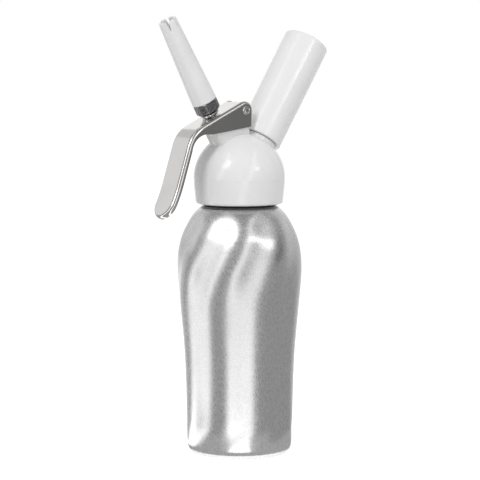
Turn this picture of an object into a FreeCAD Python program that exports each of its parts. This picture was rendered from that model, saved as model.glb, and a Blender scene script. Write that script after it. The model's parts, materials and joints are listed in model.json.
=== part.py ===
"""Half-litre whipped cream dispenser: fluted aluminium bottle, white screw-on head, squeeze lever,
serrated piping nozzle and holder for a standard 8 g gas charger.

Millimetres. The origin is the centre of the foot ring on the table and +Z is up. The nozzle and the lever
lean towards -X, the charger holder leans towards +X, and XZ is the plane of symmetry.
"""
import FreeCAD, Part
import math
import os

from FreeCAD import Vector

# Bottle
foot_profile = [(0.0, 31.2), (0.6, 32.0), (2.2, 33.05), (4.4, 33.75)]
body_profile = [(7.0, 34.0), (22.0, 34.85), (48.0, 35.6), (75.0, 37.1), (101.0, 39.45), (117.5, 40.14),
                (130.7, 39.3), (137.2, 38.0), (143.7, 35.9), (150.2, 32.8), (156.7, 29.0)]
shoulder_profile = [(158.5, 27.45), (159.9, 25.95), (161.0, 24.6)]
foot_radius = 29.5
base_corner = 4.6
base_recess = 2.6
flute_count = 8
flute_depth = 0.75
flute_phase = -12.0
flute_top_twist = 26.0
flute_twist_foot = 95.0
flute_twist_length = 62.0
flute_foot_twist = -14.0
flute_foot_sweep = 26.0
flute_low = 6.0
flute_low_fade = 14.0
flute_high = 161.0
flute_high_fade = 12.0
bottle_wall = 1.7
neck_foot_radius = 22.6
neck_foot = 161.0
neck_radius = 21.3
neck_wall = 2.6
neck_thread_foot = 164.6
neck_ridge_foot = 165.8
mouth_height = 178.0

# Threads: pitch, ridge height and turns
neck_pitch = 3.0
neck_ridge = 1.2
neck_turns = 3.2
stud_pitch = 1.5
stud_ridge = 0.55
stud_turns = 4.5
stud_ridge_foot = 31.5
thread_play = 0.35

# Head. Both tilted axes start at the centre of its dome.
dome_height = 179.0
dome_radius = 29.8
skirt_foot = 162.5
skirt_foot_radius = 28.4
skirt_edge = 1.8
skirt_middle = 172.5
skirt_middle_radius = 29.45
skirt_curve = 30.0
head_bore = 22.95
gasket_height = 2.2
gasket_bore = 18.7
head_cavity = 19.6
port_boss = 7.6
port_face = 14.0
lever_boss_width = 16.4
lever_boss_radius = 8.2
lever_boss_top = 39.5
spring_pocket = 5.6
spring_floor = 26.5
seat_radius = 12.4
seat_top = 29.1
seat_recess = 7.1
seat_recess_depth = 0.9

# Springs
spring_end_gap = 0.45

# Valve, along the valve axis from the centre of the dome
valve_tilt = -29.0
stem_radius = 2.95
stem_bore = 1.7
stem_top = 53.3
stem_foot = 6.2
stem_step = 10.8
stem_foot_radius = 2.0
seal_radius = 5.2
seal_height = 2.0
washer_radius = 4.6
washer_thick = 1.2
seal_nut_radius = 3.9
seal_nut_height = 2.4
running_play = 0.05
bush_radius = 5.0
bush_flange = 6.3
bush_top = 25.0
oring_place = 21.9
oring_section = 1.6
shoulder_top = 44.57
shoulder_radius = 6.0
shoulder_thick = 1.6
lock_nut_foot = 47.3
lock_nut_height = 2.2
lock_nut_radius = 6.15

# Nozzle
collar_foot = 49.8
collar_top = 57.25
collar_radius = 8.0
collar_floor = 3.6
plug_radius = 6.2
plug_foot = 54.85
knurl_count = 48
knurl_depth = 0.15
knurl_width = 0.4
nozzle_foot_radius = 8.15
nozzle_end_radius = 5.9
nozzle_end = 115.5
nozzle_wall = 1.6
nozzle_bore = 4.35
nozzle_bore_length = 20.0
tooth_count = 6
notch_depth = 6.2
notch_width = 2.4
notch_phase = -36.0

# Lever, a channel bent from one sheet
pivot_x = -1.9
pivot_z = 223.0
lever_width = 20.5
lever_sheet = 1.5
lever_slope = 25.2
lever_corner = 5.9
web_length = 43.4
hand_lean = 17.8
hand_bend = 20.0
hand_straight = 33.5
flare_radius = 90.0
flare_angle = 15.0
hand_flange = 3.5
flange_foot = 212.6
flange_low = (-27.0, 208.2)
flange_end = (-33.5, 208.2)
flange_elbow = (-39.2, 205.9)
bend_radius = 2.4
stem_hole = 4.3
pin_radius = 1.6
pin_head = 2.75

# Charger, its holder and the inlet, along the charger axis from the centre of the dome
charger_tilt = 31.9
holder_foot = 29.5
holder_top = 104.0
holder_radius = 15.1
holder_edge = 1.6
insert_radius = 11.9
insert_bore = 9.4
insert_foot = 31.2
insert_end = 101.6
stud_radius = 9.6
stud_top = 39.5
stud_flange = 11.4
socket_radius = 4.65
socket_floor = 32.0
charger_radius = 8.9
charger_neck = 4.35
charger_foot = 33.5
charger_hole = 1.1
charger_length = 65.5
charger_wall = 1.8
cushion_height = 1.0
inlet_shank = 4.0
inlet_foot = 10.4
inlet_hole = 1.1
gas_hole = 1.0
inlet_nut_radius = 6.1
inlet_nut_height = 2.6
pin_foot = 28.6
pin_body = 1.6
pin_end = 36.6
poppet_chamber = 2.6
poppet_chamber_foot = 13.0
retainer_height = 1.5
poppet_head = 2.85
poppet_length = 6.5
poppet_seat = 25.0
poppet_radius = 2.1

DOME = Vector(0, 0, dome_height)
UP = Vector(0, 0, 1)
ALONG_Y = Vector(0, 1, 0)


def tilted(shape, tilt):
    """Lay a shape made along +Z on one of the two axes that start at the centre of the dome."""
    moved = shape.copy()
    moved.rotate(Vector(0, 0, 0), ALONG_Y, tilt)
    moved.translate(DOME)
    return moved


def on_valve_axis(shape):
    return tilted(shape, valve_tilt)


def on_charger_axis(shape):
    return tilted(shape, charger_tilt)


def rod(radius, low, high):
    return Part.makeCylinder(radius, high - low, Vector(0, 0, low))


def tube(outer, inner, low, high):
    return rod(outer, low, high).cut(rod(inner, low - 1, high + 1))


def turned(points):
    """Revolve a closed outline of (radius, height) points about Z. A third value rounds that corner."""
    face = Part.Face(rounded_outline([(r, z, extra[0] if extra else 0) for r, z, *extra in points]))
    return face.revolve(Vector(0, 0, 0), UP, 360)


def rounded_outline(points):
    """Closed wire in the XZ plane through (x, z, corner radius) points, its corners turned into arcs."""
    count = len(points)
    corners = []
    for i, (x, z, radius) in enumerate(points):
        here = Vector(x, 0, z)
        if radius == 0:
            corners.append((here, None, here))
            continue
        back = Vector(points[i - 1][0], 0, points[i - 1][1]) - here
        ahead = Vector(points[(i + 1) % count][0], 0, points[(i + 1) % count][1]) - here
        back.normalize()
        ahead.normalize()
        half = back.getAngle(ahead) / 2
        reach = radius / math.tan(half)
        middle = back + ahead
        middle.normalize()
        tip = here + middle * (radius / math.sin(half) - radius)
        corners.append((here + back * reach, tip, here + ahead * reach))
    edges = []
    for i, (start, tip, end) in enumerate(corners):
        if tip is not None:
            edges.append(arc(start, tip, end))
        following = corners[(i + 1) % count][0]
        if end.distanceToPoint(following) > 1e-6:
            edges.append(line(end, following))
    return Part.Wire(edges)


def line(start, end):
    return Part.LineSegment(start, end).toShape()


def arc(start, middle, end):
    return Part.Arc(start, middle, end).toShape()


def slab(outline, half_width):
    """Extrude a wire of the XZ plane to the same distance on both sides of it."""
    face = Part.Face(outline)
    face.translate(Vector(0, -half_width, 0))
    return face.extrude(Vector(0, 2 * half_width, 0))


def thread_ridge(root, height, pitch, turns, low, inward=False):
    """One helical ridge that stands out of a cylinder, or into a bore when inward is set."""
    sign = -1 if inward else 1
    sunk = root - sign * 0.25
    crest = root + sign * height
    foot_half = pitch * 0.26
    crest_half = pitch * 0.12
    path = Part.makeHelix(pitch, pitch * turns, root)
    section = Part.makePolygon([Vector(sunk, 0, -foot_half), Vector(crest, 0, -crest_half),
                                Vector(crest, 0, crest_half), Vector(sunk, 0, foot_half),
                                Vector(sunk, 0, -foot_half)])
    ridge = Part.Wire(path).makePipeShell([section], True, True)
    ridge.translate(Vector(0, 0, low))
    return ridge


def eased(share):
    """Share from 0 to 1 with a soft start and end."""
    share = min(1.0, max(0.0, share))
    return share * share * (3 - 2 * share)


def flute_amount(z):
    """Share of the full flute depth at a height: none at the foot corner and none at the neck."""
    foot = (z - flute_low) / flute_low_fade
    top = (flute_high - z) / flute_high_fade
    return eased(min(foot, top))


def flute_turn(z):
    """Angle of the flutes in degrees: straight in the middle, swept round under the neck and at the foot."""
    top = eased((z - flute_twist_foot) / flute_twist_length)
    foot = max(0.0, (flute_foot_sweep - z) / flute_foot_sweep)
    return flute_phase + flute_top_twist * top + flute_foot_twist * foot ** 1.5


def body_radius(curve, z):
    """Radius of the plain body at a height, read from its profile curve."""
    first, last = curve.FirstParameter, curve.LastParameter
    for _ in range(40):
        middle = (first + last) / 2
        if curve.value(middle).z < z:
            first = middle
        else:
            last = middle
    return curve.value((first + last) / 2).x


def body_ring(radius, z):
    """Closed fluted section of the bottle at one height."""
    depth = flute_depth * flute_amount(z)
    points = []
    samples = flute_count * 6
    for i in range(samples):
        angle = 2 * math.pi * i / samples
        r = radius + depth * math.cos(flute_count * (angle - math.radians(flute_turn(z))))
        points.append(Vector(r * math.cos(angle), r * math.sin(angle), z))
    ring = Part.BSplineCurve()
    ring.interpolate(Points=points, PeriodicFlag=True)
    return Part.Wire(ring.toShape())


def profile_curve(offset=0.0):
    curve = Part.BSplineCurve()
    curve.interpolate([Vector(r - offset, 0, z) for z, r in body_profile])
    return curve


def bottle():
    curve = profile_curve()
    levels = [7, 10, 15, 22, 32, 46, 62, 78, 92, 104, 115, 124, 132, 140, 147, 152, 156.7]
    profile = foot_profile + [(z, body_radius(curve, z)) for z in levels] + shoulder_profile
    body = Part.makeLoft([body_ring(radius, z) for z, radius in profile], True, False)
    neck = turned([(0, neck_foot - 1), (neck_foot_radius, neck_foot - 1),
                   (neck_foot_radius, neck_thread_foot - 1.4, 0.5), (neck_radius, neck_thread_foot - 0.6),
                   (neck_radius, mouth_height, 0.5), (0, mouth_height)])
    outer = body.fuse(neck)

    inside = profile_curve(bottle_wall)
    side = inside.toShape()
    mouth = neck_radius - neck_wall
    top_z = mouth_height + 1
    floor_z = base_recess + 1.6
    first, last = side.Vertexes[0].Point, side.Vertexes[-1].Point
    corners = [last, Vector(mouth, 0, neck_foot + 0.7), Vector(mouth, 0, top_z), Vector(0, 0, top_z),
               Vector(0, 0, floor_z), Vector(first.x - base_corner, 0, floor_z), first]
    edges = [side] + [line(a, b) for a, b in zip(corners, corners[1:])]
    cavity = Part.Face(Part.Wire(edges)).revolve(Vector(0, 0, 0), UP, 360)

    recess = turned([(0, -1), (foot_radius, -1), (foot_radius, 0), (foot_radius - 3.0, base_recess, 1.0),
                     (0, base_recess)])
    ridge = thread_ridge(neck_radius, neck_ridge, neck_pitch, neck_turns, neck_ridge_foot)
    return outer.cut([cavity, recess]).fuse(ridge)


def head_gasket():
    return tube(head_bore - 0.15, gasket_bore, mouth_height, mouth_height + gasket_height)


def lever_boss():
    """Flat boss that carries the valve and the lever's pivot."""
    lug = 3.9
    press_slope = math.radians(34.5)
    up_x = pivot_x - lug * math.sin(press_slope)
    up_z = pivot_z + lug * math.cos(press_slope)
    crown = lug * math.tan(math.radians(45) - press_slope / 2)
    corner = Vector(pivot_x + lug, 0, pivot_z + lug)
    top_low = on_valve_axis(Part.Vertex(0, 0, lever_boss_top)).Point
    reach = (up_x - top_low.x)
    left_low = on_valve_axis(Part.Vertex(0, 0, 12.0)).Point
    outline = rounded_outline([
        (left_low.x, left_low.z, 0),
        (top_low.x, top_low.z, 0),
        (top_low.x, up_z - reach * math.tan(press_slope), 0),
        (up_x - crown, up_z - crown * math.tan(press_slope), 0),
        (up_x, up_z, 0),
        (pivot_x + 0.4 * lug, pivot_z + math.sqrt(1 - 0.16) * lug, 0),
        (corner.x, pivot_z, 0),
        (corner.x, dome_height + 12, 0),
    ])
    plate = slab(outline, lever_boss_width / 2)
    lug_end = Part.makeCylinder(lug, lever_boss_width, Vector(pivot_x, -lever_boss_width / 2, pivot_z), ALONG_Y)
    valve_end = on_valve_axis(rod(lever_boss_radius, 12.0, lever_boss_top))
    above_valve = on_valve_axis(rod(shoulder_radius + 1.2, lever_boss_top, lever_boss_top + 20))
    return plate.fuse([lug_end, valve_end]).cut(above_valve)


def head_shell():
    bore_top = mouth_height + gasket_height
    skirt = turned([(0, skirt_foot), (skirt_foot_radius, skirt_foot, skirt_edge),
                    (skirt_middle_radius, skirt_middle, skirt_curve), (dome_radius, dome_height), (0, dome_height)])
    dome = Part.makeSphere(dome_radius, DOME, UP, 0, 90, 360)
    seat = on_charger_axis(rod(seat_radius, 12.0, seat_top))
    outer = skirt.fuse([dome, lever_boss(), seat]).removeSplitter()
    outer = soft_edges(outer)

    neck_space = turned([(0, skirt_foot - 1), (head_bore + 0.9, skirt_foot - 1), (head_bore + 0.9, skirt_foot),
                         (head_bore, skirt_foot + 0.9), (head_bore, bore_top), (0, bore_top)])
    cavity = Part.makeSphere(head_cavity, DOME, UP, 0, 90, 360).cut(rod(40, 0, bore_top - 0.01))
    ports = [on_valve_axis(rod(port_boss, port_face, head_cavity + 3)),
             on_charger_axis(rod(port_boss, port_face, head_cavity + 3))]
    hollow = cavity.cut(ports)
    shell = outer.cut([neck_space, hollow])

    valve_bores = [rod(bush_radius, port_face - 1, bush_top), rod(bush_flange, port_face - 3, port_face + 1.2),
                   rod(stem_radius + 0.45, bush_top - 1, spring_floor + 1),
                   rod(spring_pocket, spring_floor, lever_boss_top + 1)]
    inlet_bores = [rod(inlet_shank + running_play, port_face - 3, seat_top + 1),
                   rod(seat_recess, seat_top - seat_recess_depth, seat_top + 1)]
    pin_bore = Part.makeCylinder(pin_radius + running_play, lever_boss_width + 2,
                                 Vector(pivot_x, -lever_boss_width / 2 - 1, pivot_z), ALONG_Y)
    tilted_bores = [on_valve_axis(b) for b in valve_bores] + [on_charger_axis(b) for b in inlet_bores]
    shell = shell.cut(tilted_bores + [pin_bore])

    ridge = thread_ridge(head_bore, head_bore - neck_radius - thread_play, neck_pitch, neck_turns + 0.8,
                         neck_ridge_foot - neck_pitch / 2, inward=True)
    return shell.fuse(ridge.common(rod(head_bore + 1, skirt_foot, bore_top)))


def soft_edges(shape):
    """Round the long outside edges of the boss, where a moulded part is never sharp."""
    picked = []
    half = lever_boss_width / 2
    for edge in shape.Edges:
        middle = edge.valueAt((edge.FirstParameter + edge.LastParameter) / 2)
        points = [middle] + [v.Point for v in edge.Vertexes]
        flat = all(abs(abs(point.y) - half) < 1e-4 for point in points)
        straight = edge.Curve.TypeId == "Part::GeomLine"
        if flat and straight and middle.z > dome_height + 25 and edge.Length > 2:
            picked.append(edge)
    try:
        rounded = shape.makeFillet(0.5, picked)
        return rounded if rounded.isValid() else shape
    except Part.OCCError:
        return shape


def valve_bush():
    body = turned([(stem_radius + running_play, port_face + 0.05), (bush_flange - 0.05, port_face + 0.05),
                   (bush_flange - 0.05, port_face + 1.2), (bush_radius, port_face + 1.2),
                   (bush_radius, bush_top), (stem_radius + running_play, bush_top)])
    groove = tube(oring_section + stem_radius + 0.2, stem_radius - 1, oring_place - 1.0, oring_place + 1.0)
    return on_valve_axis(body.cut(groove))


def stem_oring():
    section = oring_section / 2
    return on_valve_axis(Part.makeTorus(stem_radius + 0.07 + section, section, Vector(0, 0, oring_place)))


def valve_stem():
    """Hollow stem: cream enters through the side ports just above the seal and leaves at the top."""
    under = shoulder_top - shoulder_thick
    shoulder = turned([(0, under), (shoulder_radius, under, 0.4), (shoulder_radius, shoulder_top, 0.4),
                       (0, shoulder_top)])
    solid = rod(stem_radius, stem_step, stem_top).fuse([rod(stem_foot_radius, stem_foot, stem_step), shoulder])
    port_radius = 0.9
    port_height = port_face + 1.3
    reach = stem_radius + 1
    bores = [rod(stem_bore, port_height - 1.1, stem_top + 1),
             Part.makeCylinder(port_radius, 2 * reach, Vector(-reach, 0, port_height), Vector(1, 0, 0)),
             Part.makeCylinder(port_radius, 2 * reach, Vector(0, -reach, port_height), ALONG_Y)]
    return on_valve_axis(solid.cut(bores))


def valve_seal():
    """Rubber ring that closes the stem's side ports against the bush."""
    low, high = port_face - seal_height, port_face - running_play
    return on_valve_axis(turned([(stem_radius, low), (seal_radius, low, 0.5), (seal_radius, high, 0.3),
                                 (stem_radius, high)]))


def seal_washer():
    high = port_face - seal_height
    return on_valve_axis(tube(washer_radius, stem_radius, high - washer_thick, high))


def seal_nut():
    high = port_face - seal_height - washer_thick
    low = high - seal_nut_height
    return on_valve_axis(hexagon(seal_nut_radius, low, high).cut(rod(stem_foot_radius, low - 1, high + 1)))


def hexagon(radius, low, high):
    corners = [Vector(radius * math.cos(math.radians(60 * i)), radius * math.sin(math.radians(60 * i)), low)
               for i in range(7)]
    return Part.Face(Part.makePolygon(corners)).extrude(Vector(0, 0, high - low))


def biarc(start, start_way, end, end_way):
    """Two arcs that join two points and keep the given headings there."""
    chord = end - start
    both = start_way + end_way
    spread = 2 * (1 - start_way.dot(end_way))
    along = chord.dot(both)
    reach = (math.sqrt(along * along + spread * chord.dot(chord)) - along) / spread
    first_tip, second_tip = start + start_way * reach, end - end_way * reach
    joint = (first_tip + second_tip) / 2
    arcs = []
    for a, tip, b in ((start, first_tip, joint), (joint, second_tip, end)):
        middle = (a + b) / 2
        half_chord = (b - a).Length / 2
        rise = half_chord * math.tan(math.acos(half_chord / reach) / 2)
        arcs.append(arc(a, middle + (tip - middle).normalize() * rise, b))
    return arcs


def least_gap(edges, wire, arcs_per_turn):
    """Clear space between the turns of a wound wire, measured between points along its middle line."""
    samples = 6
    points = [e.valueAt(e.FirstParameter + (e.LastParameter - e.FirstParameter) * k / samples)
              for e in edges for k in range(samples)]
    apart = samples * arcs_per_turn // 2
    return min((points[i] - points[j]).Length for i in range(len(points))
               for j in range(i + apart, len(points))) - wire


def helix_spring(name, mean_radius, wire, low, high, turns):
    """Compression spring as one unbroken wire whose end turns lie closer together."""
    closed_rise = wire + spring_end_gap
    pitch = (high - low - wire - 2 * closed_rise) / (turns - 2)
    quarters = int(turns * 4)

    def rise_at(quarter):
        return closed_rise if quarter < 4 or quarter >= quarters - 4 else pitch

    points, headings = [], []
    height = low + wire / 2
    for i in range(quarters + 1):
        angle = math.pi / 2 * i
        points.append(Vector(mean_radius * math.cos(angle), mean_radius * math.sin(angle), height))
        rise = (rise_at(max(i - 1, 0)) + rise_at(min(i, quarters - 1))) / 2
        heading = Vector(-math.sin(angle), math.cos(angle), rise / (2 * math.pi * mean_radius))
        headings.append(heading.normalize())
        height += rise_at(i) / 4
    edges = []
    for i in range(quarters):
        edges += biarc(points[i], headings[i], points[i + 1], headings[i + 1])
    print("%s: least gap between turns %.2f mm" % (name, least_gap(edges, wire, 8)))
    section = Part.Wire(Part.Circle(points[0], headings[0], wire / 2).toShape())
    return Part.Wire(edges).makePipeShell([section], True, False)


def return_spring():
    top = shoulder_top - shoulder_thick
    return on_valve_axis(helix_spring("return spring", 4.3, 0.9, spring_floor, top, 6.5))


def poppet_spring():
    low = poppet_chamber_foot + retainer_height + 0.1
    high = poppet_seat - poppet_head - running_play
    return on_charger_axis(helix_spring("poppet spring", 1.5, 0.35, low, high, 7.0))


def stem_nut():
    top = lock_nut_foot + lock_nut_height
    return on_valve_axis(turned([(stem_radius, lock_nut_foot), (lock_nut_radius - 0.6, lock_nut_foot),
                                 (lock_nut_radius, lock_nut_foot + 0.6), (lock_nut_radius, top - 0.5, 0.3),
                                 (lock_nut_radius - 1.6, top), (stem_radius, top)]))


def nozzle_collar():
    """Knurled ring that screws on the stem and clamps the tip on its seal."""
    ledge = collar_foot + collar_floor
    play_radius = stem_radius + 0.15
    collar = turned([(play_radius, collar_foot), (collar_radius - 1.0, collar_foot),
                     (collar_radius, collar_foot + 1.0), (collar_radius, collar_top - 0.3),
                     (collar_radius - 0.3, collar_top), (plug_radius + 0.05, collar_top),
                     (plug_radius + 0.05, ledge), (play_radius, ledge)])
    low, high = collar_foot + 1.3, collar_top - 0.9
    groove = Part.makeBox(2 * knurl_depth, knurl_width, high - low,
                          Vector(collar_radius - knurl_depth, -knurl_width / 2, low))
    grooves = []
    for i in range(knurl_count):
        cutter = groove.copy()
        cutter.rotate(Vector(0, 0, 0), UP, 360 * i / knurl_count)
        grooves.append(cutter)
    return on_valve_axis(collar.cut(grooves))


def nozzle_seal():
    return on_valve_axis(tube(plug_radius - 0.05, 2.2, collar_foot + collar_floor + 0.02, plug_foot - 0.05))


def nozzle_tip():
    """Hollow tapered tip. V-shaped notches cut its open end into teeth, and one tooth points away from the bottle."""
    plug_bore = 2.9
    taper_inside = nozzle_foot_radius - nozzle_wall - 0.3
    tip = turned([(plug_bore, plug_foot), (plug_radius, plug_foot), (plug_radius, collar_top),
                  (nozzle_foot_radius, collar_top, 0.3), (nozzle_end_radius, nozzle_end, 0.4),
                  (nozzle_bore, nozzle_end), (nozzle_bore, nozzle_end - nozzle_bore_length),
                  (taper_inside, collar_top + 4), (plug_bore, collar_top - 0.5)])
    low = Vector(0, 0, nozzle_end - notch_depth)
    high = nozzle_end + 1
    notch = Part.makePolygon([low, Vector(0, notch_width / 2, high), Vector(0, -notch_width / 2, high), low])
    cutter = Part.Face(notch).extrude(Vector(20, 0, 0))
    cutters = []
    for i in range(tooth_count):
        blade = cutter.copy()
        blade.rotate(Vector(0, 0, 0), UP, 360 * (i + 0.5) / tooth_count + notch_phase)
        cutters.append(blade)
    return on_valve_axis(tip.cut(cutters))


def lever_side():
    """Where the outside of the lever's web starts and meets the hand part, and which way the two run."""
    slope = math.radians(lever_slope)
    lean = math.radians(hand_lean)
    web_way = Vector(-math.cos(slope), 0, -math.sin(slope))
    hand_way = Vector(-math.sin(lean), 0, -math.cos(lean))
    start = Vector(pivot_x, 0, pivot_z) + Vector(-math.sin(slope), 0, math.cos(slope)) * lever_corner
    return start, start + web_way * web_length, web_way, hand_way


def lever_line(inset, lead, end_cut):
    """Edges of the lever's outer line moved inwards by inset, from the pivot end down to the tip. lead carries
    the web on past its pivot end, and end_cut stops the line short of the tip."""
    start, corner, web_way, hand_way = lever_side()
    web_in = Vector(-web_way.z, 0, web_way.x)
    hand_in = Vector(-hand_way.z, 0, hand_way.x)
    reach = hand_bend * math.tan(web_way.getAngle(hand_way) / 2)
    web_start = start - web_way * lead + web_in * inset
    bend_start = corner - web_way * reach + web_in * inset
    bend_end = corner + hand_way * reach + hand_in * inset
    bend_centre = corner - web_way * reach + web_in * hand_bend
    bend_middle = bend_centre - (web_in + hand_in).normalize() * (hand_bend - inset)
    flare_start = corner + hand_way * hand_straight + hand_in * inset
    flare_centre = corner + hand_way * hand_straight - hand_in * flare_radius
    flare_turn = math.radians(flare_angle) - end_cut / flare_radius
    radius = flare_radius + inset
    flare = [flare_centre + hand_in * (radius * math.cos(angle)) + hand_way * (radius * math.sin(angle))
             for angle in (flare_turn / 2, flare_turn)]
    edges = [line(web_start, bend_start), arc(bend_start, bend_middle, bend_end), line(bend_end, flare_start),
             arc(flare_start, flare[0], flare[1])]
    end_way = (hand_way * math.cos(flare_turn) - hand_in * math.sin(flare_turn)).normalize()
    end_in = Vector(-end_way.z, 0, end_way.x)
    return edges, web_start, flare[1], end_way, end_in


def lever_flange_line(start, tip):
    """Lower edge of the lever's side flanges, from the tip round to the pivot end."""
    right = pivot_x + lever_corner
    slope = math.radians(lever_slope)
    low_edges, _, low_tip, _, _ = lever_line(hand_flange, 0, 0)
    low_flare, low_hand = low_edges[3], low_edges[2]
    bend_foot, flare_start = low_hand.Vertexes[0].Point, low_hand.Vertexes[-1].Point
    elbow_end = bend_foot + (flare_start - bend_foot) * 0.12
    end, low = Vector(flange_end[0], 0, flange_end[1]), Vector(flange_low[0], 0, flange_low[1])
    heel, heel_top = Vector(right - 1.5, 0, flange_foot), Vector(right, 0, flange_foot + 1.4)
    side_top = Vector(right, 0, pivot_z)
    round_angle = (math.pi / 2 - slope) / 2
    crown = Vector(pivot_x, 0, pivot_z) + Vector(math.cos(round_angle), 0, math.sin(round_angle)) * lever_corner
    return [line(tip, low_tip), low_flare, line(elbow_end, flare_start),
            arc(end, Vector(flange_elbow[0], 0, flange_elbow[1]), elbow_end), line(end, low), line(low, heel),
            line(heel, heel_top), line(heel_top, side_top), arc(side_top, crown, start)]


def lever():
    """Channel bent from sheet: a web over the valve, side flanges round the boss and a hand part that flares."""
    edges, start, tip, tip_way, tip_in = lever_line(0, 0, 0)
    outer = slab(Part.Wire(Part.__sortEdges__(edges + lever_flange_line(start, tip))), lever_width)
    outer = outer.common(rounded_strip(tip, tip_way, tip_in, lever_width / 2))
    outer = round_bends(outer, edges, lever_width / 2, bend_radius)

    cut_edges, cut_start, cut_tip, cut_way, cut_in = lever_line(lever_sheet, 14, lever_sheet * 1.4)
    far = 30.0
    corners = [cut_tip, cut_tip + cut_in * far, Vector(far, 0, 190), Vector(far, 0, cut_start.z), cut_start]
    closing = [line(a, b) for a, b in zip(corners, corners[1:])]
    half_inside = lever_width / 2 - lever_sheet
    inner = slab(Part.Wire(Part.__sortEdges__(cut_edges + closing)), lever_width)
    inner = inner.common(rounded_strip(cut_tip, cut_way, cut_in, half_inside))
    inner = round_bends(inner, cut_edges, half_inside, bend_radius - lever_sheet)

    open_size = 30.0
    open_end = Part.makeBox(open_size, 2 * half_inside, open_size, Vector(0, -half_inside, -open_size / 2))
    open_end.rotate(Vector(0, 0, 0), ALONG_Y, -lever_slope)
    open_end.translate(start)
    stem_slot = on_valve_axis(rod(stem_hole, shoulder_top - 6, lock_nut_foot + 5))
    pin_hole = Part.makeCylinder(pin_radius, lever_width + 2,
                                 Vector(pivot_x, -lever_width / 2 - 1, pivot_z), ALONG_Y)
    return outer.cut(inner).cut([open_end, stem_slot, pin_hole])


def rounded_strip(tip, way, inward, half_width):
    """Block as wide as the lever and much taller than the lever is deep, with a half-round end at the tip."""
    length, depth = 130.0, 90.0
    left, right = Vector(-length, -half_width, -depth), Vector(-length, half_width, -depth)
    bend_left, bend_right = Vector(0, -half_width, -depth), Vector(0, half_width, -depth)
    outline = Part.Wire([line(left, bend_left), arc(bend_left, Vector(half_width, 0, -depth), bend_right),
                         line(bend_right, right), line(right, left)])
    strip = Part.Face(outline).extrude(Vector(0, 0, 2 * depth))
    place = tip - way * half_width
    side = inward.cross(way)
    strip.Placement = FreeCAD.Placement(FreeCAD.Matrix(way.x, side.x, inward.x, place.x,
                                                       way.y, side.y, inward.y, place.y,
                                                       way.z, side.z, inward.z, place.z))
    return strip


def round_bends(shape, line_edges, half_width, radius):
    """Fillet the edges where the outer line meets the sides and the rounded tip."""
    outer_line = Part.Compound(line_edges)
    picked = []
    for edge in shape.Edges:
        middle = edge.valueAt((edge.FirstParameter + edge.LastParameter) / 2)
        flat = Part.Vertex(Vector(middle.x, 0, middle.z))
        crosses = abs(middle.y) < 0.02 * half_width and all(abs(v.Point.y) > 0.5 for v in edge.Vertexes)
        if not crosses and flat.distToShape(outer_line)[0] < 0.05:
            picked.append(edge)
    return shape.makeFillet(radius, picked)


def lever_pin():
    side = -lever_width / 2
    shaft = rod(pin_radius, 0, lever_width + 0.9)
    head = turned([(0, -0.9), (1.3, -0.75, 0.3), (1.75, -0.3, 0.1), (2.0, -0.3, 0.1),
                   (pin_head - 0.3, -0.6, 0.2), (pin_head, 0.0), (0, 0.0)])
    pin = shaft.fuse(head)
    pin.rotate(Vector(0, 0, 0), Vector(1, 0, 0), -90)
    pin.translate(Vector(pivot_x, side, pivot_z))
    return pin


def pin_retainer():
    side = lever_width / 2
    cap = turned([(pin_radius, 0), (pin_head, 0), (pin_head - 0.3, 0.8, 0.2), (2.0, 1.2, 0.3), (0, 1.4),
                  (0, 0.9), (pin_radius, 0.9)])
    cap.rotate(Vector(0, 0, 0), Vector(1, 0, 0), -90)
    cap.translate(Vector(pivot_x, side, pivot_z))
    return cap


def inlet_body():
    """Stud that the holder screws on, with the charger's socket above and the check valve's chamber below."""
    root = stud_radius - stud_ridge
    stud = turned([(0, inlet_foot), (inlet_shank, inlet_foot, 0.3), (inlet_shank, seat_top),
                   (stud_flange, seat_top), (stud_flange, seat_top + 1.5, 0.4), (root, seat_top + 1.5),
                   (root, stud_top, 0.6), (0, stud_top)])
    bores = [rod(socket_radius, socket_floor, stud_top + 1),
             rod(poppet_chamber, poppet_chamber_foot, poppet_seat),
             rod(inlet_hole, inlet_foot - 1, poppet_chamber_foot + 0.5),
             rod(gas_hole, poppet_seat - 1, pin_foot + 0.4),
             rod(pin_body, pin_foot, socket_floor + 1)]
    ridge = thread_ridge(root, stud_ridge, stud_pitch, stud_turns, stud_ridge_foot)
    return on_charger_axis(stud.cut(bores).fuse(ridge))


def inlet_gasket():
    foot = seat_top - seat_recess_depth
    return on_charger_axis(tube(seat_recess - 0.05, inlet_shank + running_play, foot, seat_top))


def inlet_nut():
    low, high = port_face - inlet_nut_height, port_face
    return on_charger_axis(hexagon(inlet_nut_radius, low, high).cut(rod(inlet_shank, low - 1, high + 1)))


def piercing_pin():
    shaft, point = 0.95, 0.45
    return on_charger_axis(turned([(point, pin_foot), (pin_body, pin_foot), (pin_body, socket_floor),
                                   (shaft, socket_floor + 0.8), (shaft, pin_end - 1.4), (point + 0.05, pin_end),
                                   (point, pin_end)]))


def charger_seal():
    """Rubber ring on the socket's floor that the neck of the charger is pressed on."""
    top = charger_foot - running_play
    return on_charger_axis(tube(socket_radius - 0.05, pin_body + 0.3, socket_floor, top))


def inlet_poppet():
    top = poppet_seat - 0.03
    foot, stalk = top - poppet_head + 0.05, top - poppet_length
    return on_charger_axis(turned([(0, top), (1.5, top), (poppet_radius, top - 0.8, 0.2),
                                   (poppet_radius, foot, 0.2), (0.9, foot), (0.9, stalk, 0.3), (0, stalk)]))


def poppet_retainer():
    low = poppet_chamber_foot
    return on_charger_axis(tube(poppet_chamber, inlet_hole, low, low + retainer_height))


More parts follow.
